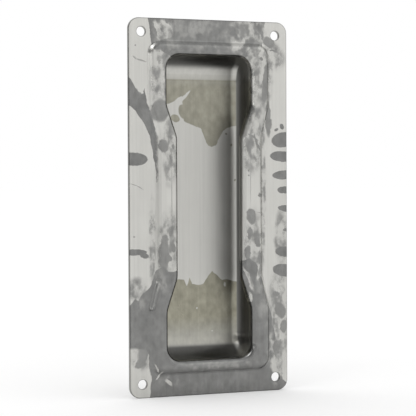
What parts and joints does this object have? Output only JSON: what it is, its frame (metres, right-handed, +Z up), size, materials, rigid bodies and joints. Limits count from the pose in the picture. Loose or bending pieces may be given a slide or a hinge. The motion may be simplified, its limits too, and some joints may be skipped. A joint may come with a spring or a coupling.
{
  "type": "recessed pull handle",
  "caption": "Flush sheet-steel pull handle: flanged face plate with a raised hourglass-shaped surround and a deep round-edged finger cup.",
  "frame": {"origin": "centre of the four screw holes, on the back of the flange, where it lies against the door", "axes": "+Z up along the plate's length, +X to the right seen from the front, +Y into the door; the front faces -Y"},
  "size_m": [0.1, 0.0232, 0.22],
  "materials": {
    "plate_steel": "bare rolled steel with dried oil stains and finger marks",
    "cup_steel": "bare drawn steel with dried oil stains"
  },
  "bodies": {
    "root": {"face_plate": "plate_steel", "handle_cup": "cup_steel"}
  },
  "joints": []
}
